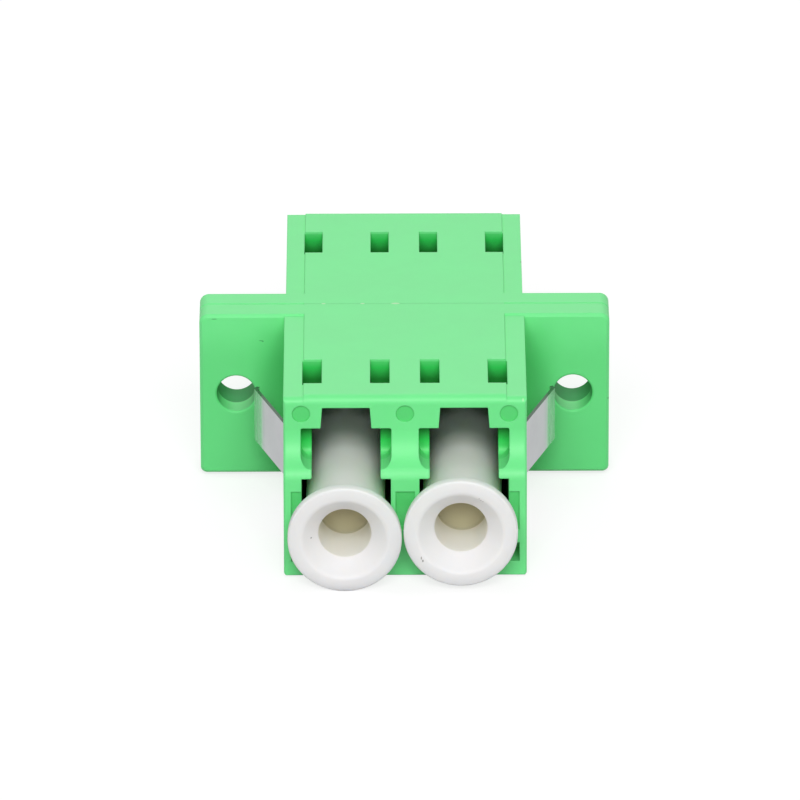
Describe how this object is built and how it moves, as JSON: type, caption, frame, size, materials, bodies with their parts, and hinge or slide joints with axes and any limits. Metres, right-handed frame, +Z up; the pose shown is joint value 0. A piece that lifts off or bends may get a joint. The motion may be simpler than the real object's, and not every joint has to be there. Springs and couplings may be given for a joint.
{
  "type": "fibre optic adapter",
  "caption": "Flanged fibre optic adapter with latch-slot ports on both faces, screw-fixing ears, a spring panel clip and push-in dust plugs.",
  "frame": {"origin": "midway between the two screw holes, on the seam plane where the two housing halves meet", "axes": "+X across the two ports, +Y along the fibre axis away from the pictured port face, +Z up towards the latch slots"},
  "size_m": [0.022, 0.0318, 0.0097],
  "materials": {
    "housing_plastic": "satin mint green moulded plastic",
    "sleeve_ceramic": "polished white ceramic",
    "clip_steel": "plain rolled spring steel",
    "plug_plastic": "smooth translucent white soft plastic"
  },
  "bodies": {
    "adapter": {"front_housing": "housing_plastic", "rear_housing": "housing_plastic", "left_alignment_sleeve": "sleeve_ceramic", "right_alignment_sleeve": "sleeve_ceramic", "panel_clip": "clip_steel"},
    "front_left_plug": {"front_left_dust_plug": "plug_plastic"},
    "front_right_plug": {"front_right_dust_plug": "plug_plastic"},
    "rear_left_plug": {"rear_left_dust_plug": "plug_plastic"},
    "rear_right_plug": {"rear_right_dust_plug": "plug_plastic"}
  },
  "joints": [
    {"name": "front_left_plug_slide", "type": "slide", "parent": "adapter", "child": "front_left_plug", "axis": [0, -1, 0], "range_m": [0, 0.016]},
    {"name": "front_right_plug_slide", "type": "slide", "parent": "adapter", "child": "front_right_plug", "axis": [0, -1, 0], "range_m": [0, 0.016]},
    {"name": "rear_left_plug_slide", "type": "slide", "parent": "adapter", "child": "rear_left_plug", "axis": [0, 1, 0], "range_m": [0, 0.016]},
    {"name": "rear_right_plug_slide", "type": "slide", "parent": "adapter", "child": "rear_right_plug", "axis": [0, 1, 0], "range_m": [0, 0.016]}
  ]
}
